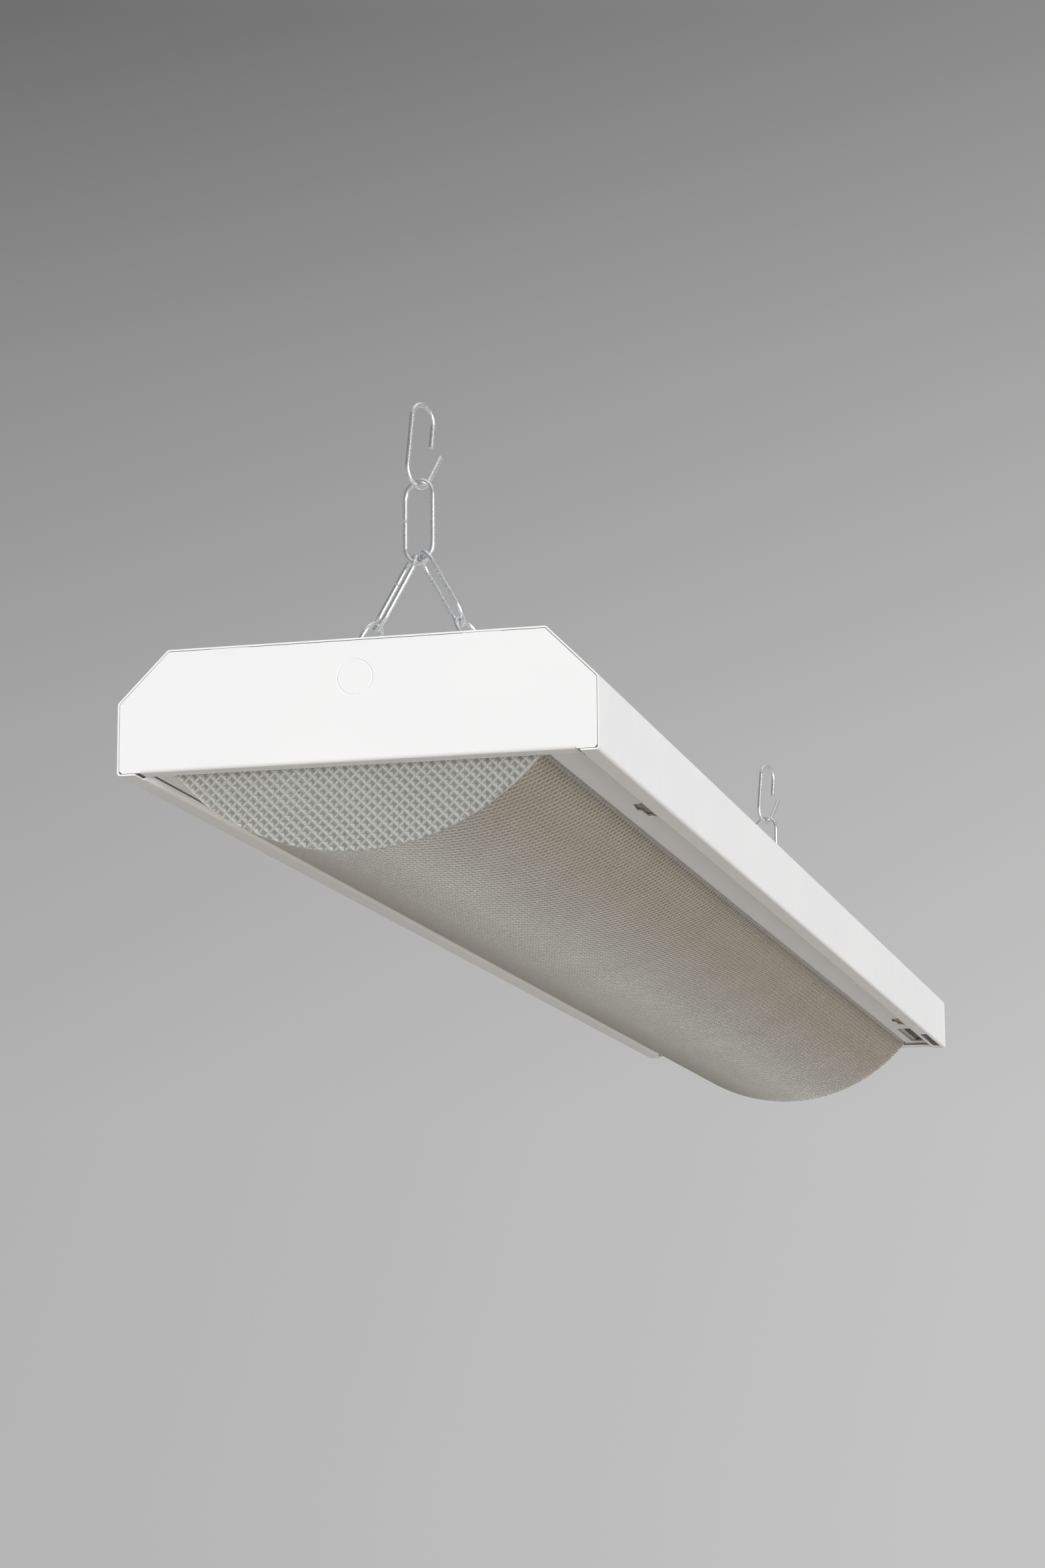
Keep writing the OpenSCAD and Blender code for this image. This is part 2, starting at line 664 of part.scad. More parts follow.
knuckle_x = hinge_len / 2 - knuckle_len;
pin_bore_d = hinge_pin_d + 0.16;

module right_rail() color("white") hung() difference() {
    along_x(-rail_end, rail_end) mirror([1, 0]) rail_section(right);
    at_hinges() {
        // The outer edge is cut away beside each hinge, and a slot below shows the leaf
        block(-hinge_len / 2 - 0.5, hinge_len / 2 + 0.5, -rail_out - over, -hinge_y + 2.2, 0, rail_top + over);
        translate([0, 0, lip_h - over]) linear_extrude(height = rail_t + over + seat_gap / 2)
            polygon([[-leaf_slot_half, -rail_out - over], [-leaf_slot_half, -leaf_in - 0.4], [1.5, 1.4 - leaf_in],
                [2, -leaf_in - over], [leaf_slot_half, -leaf_in - over], [leaf_slot_half, -rail_out - over]]);
    }
    block(half_len - rail_notch_at, half_len - rail_notch_at + rail_notch_len,
        -rail_out - over, -rail_notch_y, 0, rail_top + over);
}

// The leaf of each hinge: it lies on the rail over the slot and ends in the middle knuckle
module hinge_leaves() color("darkkhaki") hung() at_hinges() difference() {
    union() {
        hinge_rod(knuckle_d, -knuckle_x + clear, knuckle_x - clear);
        translate([0, 0, leaf_z]) linear_extrude(height = bracket_t)
            polygon([[-leaf_half, -leaf_in], [leaf_half, -leaf_in], [leaf_half, -leaf_out],
                [leaf_neck, -leaf_out], [leaf_neck, -leaf_neck_y],
                [-leaf_neck, -leaf_neck_y], [-leaf_neck, -leaf_out], [-leaf_half, -leaf_out]]);
    }
    hinge_rod(pin_bore_d, -knuckle_x - over, knuckle_x + over);
}

// Two outer knuckles on a strap that steps over the lip to the flange
module hinge_brackets() color("white") hung() at_hinges() {
    e = bracket_t / 2;
    strap_z = hinge_z + knuckle_d / 2 - e;
    difference() {
        union() {
            along_x(-hinge_len / 2, hinge_len / 2) mirror([1, 0])
                bent_sheet([[hinge_y, strap_z], [bracket_step_y, strap_z], [bracket_step_y, sheet_t + e],
                    [half_w - sheet_t / 2 - bend_r - clear, sheet_t + e]], bracket_t, bend_r);
            for (x = [-hinge_len / 2, knuckle_x]) hinge_rod(knuckle_d, x, x + knuckle_len);
        }
        block(-knuckle_x, knuckle_x, -lip_y - 0.8, -hinge_y + 3, 0, rail_top + over);
        hinge_rod(hinge_pin_d, -hinge_len, hinge_len);
    }
}

module hinge_pins() color("silver") hung() at_hinges() hinge_rod(hinge_pin_d, -hinge_len / 2, hinge_len / 2);

// Thin springs on the left rail that grip the lip of the housing
module lens_catches() color("silver") hung() at_hinges() {
    e = catch_t / 2;
    gap_mid = (rail_out + lip_y) / 2;
    along_x(-catch_len / 2, catch_len / 2)
        bent_sheet([[rail_out - 9, rail_top + e], [gap_mid, rail_top + e], [gap_mid, lip_h - 0.5]], catch_t, catch_t);
}

// ---- the light --------------------------------------------------------------

hook(near);  // near_hook
hook(far);  // far_hook
top_link(near);  // near_top_link
top_link(far);  // far_top_link
arm_link(near, left);  // near_left_arm_link
arm_link(near, right);  // near_right_arm_link
end_link(near, left);  // near_left_end_link
end_link(near, right);  // near_right_end_link
arm_link(far, left);  // far_left_arm_link
arm_link(far, right);  // far_right_arm_link
end_link(far, left);  // far_left_end_link
end_link(far, right);  // far_right_end_link
housing();
end_plate(near);  // near_end_plate
end_plate(far);  // far_end_plate
end_plate_screws();
ballast();
ballast_screws();
channel_cover();
cover_screws();
lampholder(near, left);  // near_left_lampholder
lampholder(near, right);  // near_right_lampholder
lampholder(far, left);  // far_left_lampholder
lampholder(far, right);  // far_right_lampholder
lamp_leads();
wire_connectors();
ground_screw();
hinge_brackets();
hinge_pins();
lens();
lens_end(near);  // near_lens_end
lens_end(far);  // far_lens_end
left_rail();
right_rail();
hinge_leaves();
lens_catches();
lamp_tube(left);  // left_lamp_tube
lamp_caps(left);  // left_lamp_caps
lamp_pins(left);  // left_lamp_pins
rotor(near, left);  // near_left_rotor
rotor(far, left);  // far_left_rotor
lamp_tube(right);  // right_lamp_tube
lamp_caps(right);  // right_lamp_caps
lamp_pins(right);  // right_lamp_pins
rotor(near, right);  // near_right_rotor
rotor(far, right);  // far_right_rotor
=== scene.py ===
# %% [markdown]
# # A hanging shop light
# The light is a long folded sheet-steel housing on two short chain hangers, with two tube lamps
# behind a bowed prismatic lens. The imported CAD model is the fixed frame: its steel parts keep
# their own shapes and get finishes here, while the lens and the small fasteners, which need more
# detail than solids carry, are made in this file and set exactly where the solids are.

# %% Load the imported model
import math

import bpy
from mathutils import Matrix, Vector


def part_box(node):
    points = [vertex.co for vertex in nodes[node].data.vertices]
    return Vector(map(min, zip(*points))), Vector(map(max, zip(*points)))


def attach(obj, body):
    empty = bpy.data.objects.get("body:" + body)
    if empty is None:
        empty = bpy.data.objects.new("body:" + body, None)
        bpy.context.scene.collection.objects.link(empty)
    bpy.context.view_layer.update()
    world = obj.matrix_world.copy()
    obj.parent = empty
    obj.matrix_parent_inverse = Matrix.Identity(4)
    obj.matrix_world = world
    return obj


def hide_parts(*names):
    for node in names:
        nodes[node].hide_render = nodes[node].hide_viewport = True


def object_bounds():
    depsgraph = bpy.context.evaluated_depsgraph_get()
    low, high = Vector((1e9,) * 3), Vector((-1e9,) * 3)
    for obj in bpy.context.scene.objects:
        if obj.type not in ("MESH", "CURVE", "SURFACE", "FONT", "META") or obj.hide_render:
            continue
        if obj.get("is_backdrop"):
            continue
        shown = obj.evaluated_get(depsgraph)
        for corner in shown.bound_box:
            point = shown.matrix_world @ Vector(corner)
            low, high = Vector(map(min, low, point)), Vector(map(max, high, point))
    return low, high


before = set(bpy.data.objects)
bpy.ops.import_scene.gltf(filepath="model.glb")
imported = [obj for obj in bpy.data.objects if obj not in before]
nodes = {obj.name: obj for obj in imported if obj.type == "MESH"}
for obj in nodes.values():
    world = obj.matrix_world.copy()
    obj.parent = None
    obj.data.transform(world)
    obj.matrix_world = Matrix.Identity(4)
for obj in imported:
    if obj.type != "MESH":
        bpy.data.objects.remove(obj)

scene = bpy.context.scene
cad_box = [list(corner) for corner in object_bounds()]
print("CAD box:", [[round(v, 4) for v in corner] for corner in cad_box])

# %% [markdown]
# ## Camera
# The photograph looks up along the light from near its front end. Its position and directions
# were worked out from corners of the housing whose real places are known, so the camera is set
# from three direction vectors instead of being aimed by eye.

# %% Camera
MM = 0.001
FOCAL_MM = 83.08
SENSOR_MM = 36
camera_at = Vector((-2.2341, -0.4878, -0.5503))
view_right = Vector((0.2437, -0.9698, -0.0067))
view_forward = Vector((0.9523, 0.2380, 0.1910)).normalized()
view_up = view_right.cross(view_forward).normalized()
view_right = view_forward.cross(view_up).normalized()

camera_data = bpy.data.cameras.new("Camera")
camera_data.lens = FOCAL_MM
camera_data.sensor_width = SENSOR_MM
camera_data.sensor_fit = "AUTO"
camera_data.clip_start = 50 * MM
camera = bpy.data.objects.new("Camera", camera_data)
scene.collection.objects.link(camera)
turn = Matrix((view_right, view_up, -view_forward)).transposed()
camera.matrix_world = Matrix.Translation(camera_at) @ turn.to_4x4()
scene.camera = camera
print("camera looks up by", round(math.degrees(math.asin(view_forward.z)), 1), "degrees")

# %% [markdown]
# ## Finishes
# Every finish is a node tree on Object coordinates, so a grain has its true size in millimetres
# wherever the piece is. Small helpers keep each tree short: a noise, a ramp that maps it to a
# range, and a bump that turns it into relief. Before them stand two that the geometry trees
# below use as well: one adds any kind of node, the other works out a number.

# %% Helpers for all node trees
def add(tree, kind, *inputs, **settings):
    """Adds a node, sets its properties and joins or fills its inputs in order."""
    node = tree.nodes.new(kind)
    for key, value in settings.items():
        setattr(node, key, value)
    sockets = [s for s in node.inputs if s.enabled]
    for socket, value in zip(sockets, inputs):
        if isinstance(value, bpy.types.NodeSocket):
            tree.links.new(value, socket)
        elif value is not None:
            socket.default_value = value
    return node


def maths(tree, operation, *inputs):
    """A number worked out from other numbers."""
    return add(tree, "ShaderNodeMath", *inputs, operation=operation).outputs[0]

# %% Helpers for finishes
MIX_SHARE, MIX_FIRST, MIX_SECOND, MIX_RESULT = 0, 6, 7, 2


def finish(name):
    """A new material with its tree and its shader."""
    material = bpy.data.materials.new(name)
    material.use_nodes = True
    return material, material.node_tree, material.node_tree.nodes["Principled BSDF"]


def place(tree, stretch=(1, 1, 1), centre=(0, 0, 0)):
    """Object coordinates through a Mapping node."""
    where = tree.nodes.new("ShaderNodeTexCoord")
    mapping = tree.nodes.new("ShaderNodeMapping")
    mapping.inputs["Scale"].default_value = stretch
    mapping.inputs["Location"].default_value = centre
    tree.links.new(where.outputs["Object"], mapping.inputs["Vector"])
    return mapping.outputs["Vector"]


def grain(tree, where, size_mm, detail=3.0, rough=0.5):
    """Noise whose blotches are about size_mm across."""
    noise = tree.nodes.new("ShaderNodeTexNoise")
    noise.inputs["Scale"].default_value = 1 / (size_mm * MM)
    noise.inputs["Detail"].default_value = detail
    noise.inputs["Roughness"].default_value = rough
    tree.links.new(where, noise.inputs["Vector"])
    return noise.outputs["Fac"]


def ramp(tree, value, low, high, start=0.3, stop=0.7):
    """Maps a value between start and stop to numbers or colours between low and high."""
    node = tree.nodes.new("ShaderNodeValToRGB")
    for element, at, colour in zip(node.color_ramp.elements, (start, stop), (low, high)):
        colour = (colour,) * 3 if isinstance(colour, (int, float)) else colour
        element.position = at
        element.color = (*colour, 1)
    tree.links.new(value, node.inputs["Fac"])
    return node.outputs["Color"]


def relief(tree, height, depth_mm, strength):
    """A bump of depth_mm."""
    bump = tree.nodes.new("ShaderNodeBump")
    bump.inputs["Distance"].default_value = depth_mm * MM
    bump.inputs["Strength"].default_value = strength
    tree.links.new(height, bump.inputs["Height"])
    return bump.outputs["Normal"]


def specks(tree, where, apart_mm, radius_mm):
    """1 inside small round specks, 0 elsewhere."""
    cells = tree.nodes.new("ShaderNodeTexVoronoi")
    cells.inputs["Scale"].default_value = 1 / (apart_mm * MM)
    tree.links.new(where, cells.inputs["Vector"])
    return maths(tree, "LESS_THAN", cells.outputs["Distance"], radius_mm / apart_mm)


def mixed(tree, share, first, second, blend="MIX"):
    """Two colours, as sockets or as numbers, mixed by a share."""
    mix = tree.nodes.new("ShaderNodeMix")
    mix.data_type = "RGBA"
    mix.blend_type = blend
    for socket, value in ((MIX_SHARE, share), (MIX_FIRST, first), (MIX_SECOND, second)):
        if isinstance(value, bpy.types.NodeSocket):
            tree.links.new(value, mix.inputs[socket])
        else:
            mix.inputs[socket].default_value = value if socket == MIX_SHARE else (*value, 1)
    return mix.outputs[MIX_RESULT]


finishes = {}
print("finishes wanted by the CAD pieces:", len({
    slot.material.name.split(".")[0] for node in nodes.values() for slot in node.material_slots}))

# %% [markdown]
# ### White enamel
# The housing, end plates and rails have a baked white coat. It is almost flat: a faint orange
# peel left by spraying, clouds of slightly different gloss, and a few pin-head chips. Two noises
# and a sparse speck pattern give that without any lines or edges that would look drawn.

# %% White enamel
CHIPS_APART_MM, CHIP_MM = 46, 0.42


def enamel():
    material, tree, shader = finish("White baked enamel")
    where = place(tree)
    clouds = grain(tree, where, 90, 2)
    chips = specks(tree, where, CHIPS_APART_MM, CHIP_MM)
    white = ramp(tree, clouds, (0.855, 0.855, 0.858), (0.885, 0.884, 0.883))
    coat = mixed(tree, chips, white, (0.16, 0.15, 0.14))
    tree.links.new(coat, shader.inputs["Base Color"])
    tree.links.new(ramp(tree, grain(tree, where, 14, 4), 0.30, 0.42), shader.inputs["Roughness"])
    peel = grain(tree, where, 2.4, 2)
    tree.links.new(relief(tree, peel, 0.012, 0.6), shader.inputs["Normal"])
    shader.inputs["Specular IOR Level"].default_value = 0.45
    return material


finishes["white_enamel"] = enamel()
print("finish:", finishes["white_enamel"].name)

# %% [markdown]
# ### Bare and plated metals
# The chain is bright zinc, the hinge strip is olive plated and also painted dark for the shade in
# its slots, the lamp pins are brass and the caps are satin aluminium. They differ in colour, in
# how blotched the plating is and in the direction of the fine scratches, so one function takes
# these as numbers.

# %% Metals
def metal(name, dull, bright, gloss, blotch_mm, stretch=(1, 1, 1), scratch=0.25):
    material, tree, shader = finish(name)
    where = place(tree)
    tone = ramp(tree, grain(tree, where, blotch_mm, 5, 0.6), dull, bright, 0.32, 0.62)
    tree.links.new(tone, shader.inputs["Base Color"])
    shader.inputs["Metallic"].default_value = 1.0
    fine = grain(tree, place(tree, stretch), scratch, 4, 0.65)
    tree.links.new(ramp(tree, fine, *gloss), shader.inputs["Roughness"])
    tree.links.new(relief(tree, fine, 0.01, 0.5), shader.inputs["Normal"])
    return material


finishes["chain_zinc"] = metal(
    "Bright zinc wire", (0.58, 0.59, 0.61), (0.92, 0.925, 0.93), (0.26, 0.46), 0.9)
finishes["screw_zinc"] = metal(
    "Zinc plated screws", (0.45, 0.46, 0.48), (0.72, 0.73, 0.74), (0.25, 0.45), 2.0)
# Dark olive: part plating, part painted shade standing for the shade in the hinge slots.
finishes["hinge_steel"] = metal(
    "Olive plated hinge strip in painted shade", (0.17, 0.155, 0.10), (0.34, 0.315, 0.21), (0.32, 0.55), 6.0)
finishes["pin_steel"] = metal(
    "Bright steel hinge wire", (0.46, 0.46, 0.47), (0.68, 0.69, 0.70), (0.22, 0.40), 4.0)
finishes["spring_steel"] = metal(
    "Blued spring strip", (0.30, 0.31, 0.34), (0.46, 0.47, 0.50), (0.30, 0.50), 5.0)
finishes["cap_aluminium"] = metal(
    "Satin aluminium caps", (0.66, 0.66, 0.67), (0.82, 0.82, 0.83), (0.30, 0.48), 5.0,
    stretch=(12, 1, 1), scratch=3.0)
finishes["pin_brass"] = metal(
    "Brass pins", (0.62, 0.47, 0.22), (0.82, 0.68, 0.38), (0.20, 0.38), 2.0)
print("metals:", len(finishes) - 1)

# %% [markdown]
# ### Moulded plastics and painted small parts
# Lampholders, rotors, wire sleeves and the ballast case are matt to half-gloss solids. Moulded
# parts have a fine even grain from the tool, and the ballast has a coarser dried-paint skin.

# %% Plastics and painted parts
def moulded(name, low, high, gloss, cloud_mm=12, skin_mm=0.35, depth_mm=0.015):
    material, tree, shader = finish(name)
    where = place(tree)
    tone = ramp(tree, grain(tree, where, cloud_mm, 3), low, high)
    tree.links.new(tone, shader.inputs["Base Color"])
    skin = grain(tree, where, skin_mm, 2)
    tree.links.new(ramp(tree, skin, *gloss), shader.inputs["Roughness"])
    tree.links.new(relief(tree, skin, depth_mm, 0.5), shader.inputs["Normal"])
    shader.inputs["Specular IOR Level"].default_value = 0.5
    return material


finishes["holder_plastic"] = moulded(
    "White moulded lampholders", (0.80, 0.80, 0.77), (0.86, 0.86, 0.84), (0.30, 0.42))
finishes["rotor_plastic"] = moulded(
    "Ivory moulded rotors", (0.70, 0.65, 0.52), (0.77, 0.73, 0.61), (0.28, 0.40), 6)
finishes["lead_sleeve"] = moulded(
    "Pale yellow wire sleeves", (0.66, 0.57, 0.26), (0.76, 0.69, 0.40), (0.38, 0.52), 8)
finishes["connector_plastic"] = moulded(
    "Orange wire connectors", (0.62, 0.22, 0.03), (0.74, 0.30, 0.06), (0.34, 0.48), 5)
finishes["ground_green"] = moulded(
    "Green ground screw", (0.02, 0.12, 0.035), (0.05, 0.19, 0.06), (0.26, 0.42), 3)
finishes["ballast_steel"] = moulded(
    "Grey ballast paint", (0.34, 0.345, 0.35), (0.42, 0.425, 0.43), (0.38, 0.58),
    cloud_mm=30, skin_mm=1.6, depth_mm=0.04)
print("finishes so far:", len(finishes))

# %% [markdown]
# ### Lamp glass
# An unlit tube looks like chalk behind gloss: the white powder is on the inside, the glass is
# smooth outside. Used lamps darken in a soft ring near each cap, so the colour follows the
# distance along the tube, with a little noise to make the ring uneven.

# %% Lamp glass
RING_INNER, RING_OUTER, RING_WAVER = 30 * MM, 12 * MM, 12 * MM


def coated_glass(dark_from, dark_to):
    material, tree, shader = finish("White coated lamp glass")
    where = place(tree)
    along = maths(tree, "ABSOLUTE", add(tree, "ShaderNodeSeparateXYZ", where).outputs["X"])
    uneven = maths(tree, "MULTIPLY_ADD", grain(tree, where, 8, 2), RING_WAVER, along)
    ends = tree.nodes.new("ShaderNodeMapRange")
    ends.inputs["From Min"].default_value = dark_from
    ends.inputs["From Max"].default_value = dark_to
    tree.links.new(uneven, ends.inputs["Value"])
    powder = ramp(tree, grain(tree, where, 1.2, 4), (0.87, 0.87, 0.86), (0.91, 0.91, 0.90))
    colour = mixed(tree, ends.outputs[0], powder, (0.52, 0.49, 0.46))
    tree.links.new(colour, shader.inputs["Base Color"])
    tree.links.new(ramp(tree, grain(tree, where, 20, 3), 0.07, 0.13), shader.inputs["Roughness"])
    tree.links.new(relief(tree, grain(tree, where, 6, 1), 0.01, 0.3), shader.inputs["Normal"])
    return material


tube_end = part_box("left_lamp_tube")[1].x
finishes["lamp_glass"] = coated_glass(tube_end - RING_INNER, tube_end + RING_OUTER)
print("lamp tubes end at", round(tube_end, 4), "m")

# %% [markdown]
# ### Clear prismatic plastic
# The lens is clear, and its grey comes partly from its pits, which bend the view of what is
# inside, and partly from painted shade. The shader is real refracting plastic. The ridges are
# rougher and painted lighter and the pits painted darker, as painted light and shade of the
# facets, so both tints follow the lattice, which comes as the point attribute pit from the trees
# below. Towards its two flanks the lens is painted darker and a little yellower: painted shade
# with some yellowing. On the end panels, facets that face up to the right get a painted
# highlight. Light on its way to the lamps passes straight through, by the Is Shadow Ray output:
# without it, the inside of the housing would be black.

# %% Clear plastic
ACRYLIC_IOR = 1.49
DIRT_MM = 0.35


def stored(tree, name):
    """A number that a geometry tree has stored on each point or face."""
    attribute = tree.nodes.new("ShaderNodeAttribute")
    attribute.attribute_name = name
    return attribute.outputs["Fac"]


def shaded_yellower_flanks(tree, colour, middle, half):
    """A colour darker and yellower towards the flanks of the lens: painted shade, some yellowing.
    """
    stretched = place(tree, (1, 1 / half, 1), (0, -middle / half, 0))
    beside = add(tree, "ShaderNodeSeparateXYZ", stretched).outputs["Y"]
    sideways = maths(tree, "ABSOLUTE", beside)
    shade_and_age = ramp(tree, sideways, (1.0, 1.0, 1.0), (0.65, 0.595, 0.525), 0.14, 0.80)
    middle_shade_stop = shade_and_age.node.color_ramp.elements.new(0.44)
    middle_shade_stop.color = (0.80, 0.785, 0.775, 1)
    return mixed(tree, 1.0, colour, shade_and_age, "MULTIPLY")


def lit_through(tree, shader, passes):
    """Shadow rays see a plain filter where all other rays see the shader."""
    through = tree.nodes.new("ShaderNodeBsdfTransparent")
    through.inputs["Color"].default_value = (passes, passes, passes - 0.01, 1)
    path = tree.nodes.new("ShaderNodeLightPath")
    choose = add(tree, "ShaderNodeMixShader",
                 path.outputs["Is Shadow Ray"], shader.outputs[0], through.outputs[0])
    tree.links.new(choose.outputs[0], tree.nodes["Material Output"].inputs["Surface"])


def clear_plastic(name, ridge, pit, clear=(0.62, 0.9), passes=0.92,
                  flank_shade=None, facet_highlight=None, dirt_mm=None):
    material, tree, shader = finish(name)
    where = place(tree)
    in_pit = ramp(tree, stored(tree, "pit"), 0.0, 1.0, 0.12, 0.62)
    clouds = grain(tree, where, 60, 2)
    # Painted light and shade: ridges take the lighter tint and pits the darker one.
    colour = mixed(tree, in_pit, ramp(tree, clouds, *ridge), ramp(tree, clouds, *pit))
    # Painted shade: darker and a little yellower towards the flanks.
    if flank_shade is not None:
        colour = shaded_yellower_flanks(tree, colour, *flank_shade)
    # Painted highlight: facets that face up to the right are painted brighter.
    if facet_highlight is not None:
        highlight_share = ramp(tree, stored(tree, "slant"), 0.0, 1.0, 0.02, 0.38)
        colour = mixed(tree, highlight_share, colour, facet_highlight)
    if dirt_mm is not None:
        dirt = specks(tree, where, dirt_mm, DIRT_MM)
        colour = mixed(tree, dirt, colour, (0.05, 0.045, 0.04))
    tree.links.new(colour, shader.inputs["Base Color"])
    tree.links.new(ramp(tree, in_pit, 0.34, 0.12, 0.0, 1.0), shader.inputs["Roughness"])
    tree.links.new(relief(tree, grain(tree, where, 1.5, 2), 0.01, 0.4), shader.inputs["Normal"])
    tree.links.new(ramp(tree, in_pit, *clear, 0.0, 1.0), shader.inputs["Transmission Weight"])
    shader.inputs["IOR"].default_value = ACRYLIC_IOR
    lit_through(tree, shader, passes)
    return material


end_low, end_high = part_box("near_lens_end")
lens_middle = (end_low.y + end_high.y) / 2
FLANK_SHADE_HALF = 93 * MM
# Painted light and shade: a lighter ridge tint and a darker pit tint.
finishes["lens_plastic"] = clear_plastic(
    "Clear prismatic lens",
    ridge=((0.89, 0.885, 0.85), (0.93, 0.925, 0.89)),
    pit=((0.50, 0.485, 0.445), (0.56, 0.545, 0.505)),
    # Painted shade: the lens is painted darker and a little yellower towards its flanks.
    passes=0.80, flank_shade=(lens_middle, FLANK_SHADE_HALF))
# The end panels take darker tints than the lens, though they are the same plastic: painted shade.
finishes["lens_end_plastic"] = clear_plastic(
    "Clear prismatic lens end",
    ridge=((0.67, 0.675, 0.66), (0.71, 0.715, 0.70)),
    pit=((0.39, 0.39, 0.34), (0.46, 0.46, 0.41)),
    # Painted highlight on the facets that face up to the right; the dark specks are dirt.
    clear=(0.66, 0.84), facet_highlight=(0.84, 0.85, 0.84), dirt_mm=11)
print("finishes in all:", len(finishes))

# %% [markdown]
# ## The CAD pieces take their finishes
# Each solid came with the name of the finish it should have, so the new finishes are handed out
# by those names.

# %% Hand out the finishes
handed_out = 0
for node in nodes.values():
    for slot in node.material_slots:
        wanted = slot.material.name.split(".")[0]
        if wanted in finishes:
            slot.material = finishes[wanted]
            handed_out += 1
        else:
            print("no finish named", wanted, "for", node.name)
print("slots given their finish:", handed_out)

# %% [markdown]
# ## The bowed lens
# The real lens is one extrusion of clear plastic whose outside is rolled into rows of small
# square pits, set at 45 degrees. On a plain square grid of points that pattern is a rule: where
# the row and column numbers add up to an even number the point is a ridge crossing, where they
# add up to an odd number it is the bottom of a pit. Geometry Nodes can make the flat grid, pick
# the right diagonal in each square, give the sheet its thickness and then roll it to its arc.

# %% Helpers for geometry trees
FULL_TURN = 2 * math.pi


def geometry_tree(name, sizes):
    """A geometry tree with a named input for each size: tree, sizes, output, identifiers."""
    tree = bpy.data.node_groups.new(name, "GeometryNodeTree")
    tree.interface.new_socket("Geometry", in_out="INPUT", socket_type="NodeSocketGeometry")
    identifiers = {}
    for size, kind in sizes.items():
        socket = tree.interface.new_socket(
            size, in_out="INPUT", socket_type="NodeSocket" + kind)
        identifiers[size] = socket.identifier
    tree.interface.new_socket("Geometry", in_out="OUTPUT", socket_type="NodeSocketGeometry")
    given = {s.name: s for s in tree.nodes.new("NodeGroupInput").outputs}
    return tree, given, tree.nodes.new("NodeGroupOutput"), identifiers


def point(tree, x, y, z):
    """A position put together from three numbers."""
    return add(tree, "ShaderNodeCombineXYZ", x, y, z).outputs[0]


def position(tree):
    """The three numbers of each point's position."""
    here = add(tree, "GeometryNodeInputPosition").outputs[0]
    return add(tree, "ShaderNodeSeparateXYZ", here).outputs


def moved(tree, shape, to=None, by=None):
    """A shape with every point at a new position, or moved by an offset."""
    return add(tree, "GeometryNodeSetPosition", shape, None, to, by).outputs[0]


def noted(tree, shape, name, value, domain="POINT"):
    """A shape that keeps a number on each point or face, for its finish to read."""
    return add(tree, "GeometryNodeStoreNamedAttribute", shape, None, name, value,
               data_type="FLOAT", domain=domain).outputs[0]


def smoothed(tree, shape, where, smooth, **settings):
    """A shape shaded smooth or flat where it is chosen."""
    return add(tree, "GeometryNodeSetShadeSmooth", shape, where, smooth, **settings).outputs[0]


def joined(tree, first, second):
    """Two shapes in one."""
    both = tree.nodes.new("GeometryNodeJoinGeometry")
    tree.links.new(first, both.inputs[0])
    tree.links.new(second, both.inputs[0])
    return both.outputs[0]


def completed(tree, shape, material, result):
    """Every tree ends with real geometry that has its finish."""
    solid = add(tree, "GeometryNodeRealizeInstances", shape).outputs[0]
    finished = add(tree, "GeometryNodeSetMaterial", solid, None, material).outputs[0]
    tree.links.new(finished, result.inputs[0])
    print("tree:", tree.name, "with", len(tree.nodes), "nodes")


def made_by(tree, identifiers, name, values, body):
    """Runs a geometry tree and returns its result as a plain mesh object."""
    carrier = bpy.data.objects.new(name + "_source", bpy.data.meshes.new(name + "_source"))
    scene.collection.objects.link(carrier)
    modifier = carrier.modifiers.new("shape", "NODES")
    modifier.node_group = tree
    for size, value in values.items():
        modifier[identifiers[size]] = value
    bpy.context.view_layer.update()
    evaluated = carrier.evaluated_get(bpy.context.evaluated_depsgraph_get())
    mesh = bpy.data.meshes.new_from_object(evaluated)
    piece = bpy.data.objects.new(name, mesh)
    scene.collection.objects.link(piece)
    carrier.modifiers.remove(modifier)
    bpy.data.objects.remove(carrier)
    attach(piece, body)
    triangles = sum(len(face.vertices) - 2 for face in mesh.polygons)
    print(name + ":", len(mesh.vertices), "points,", triangles, "triangles")
    return piece

# %% [markdown]
# ### The pitted sheet
# Both the lens and its end panels start as the same flat sheet. The real maker would roll the
# pits into the hot sheet with one engraved roller, so one function stands for that roller.

# %% A pitted sheet
SHEET_WELD = 0.01 * MM
TRIAL_LIFT = 1 * MM
PLAIN_EDGE = 0.5 * MM


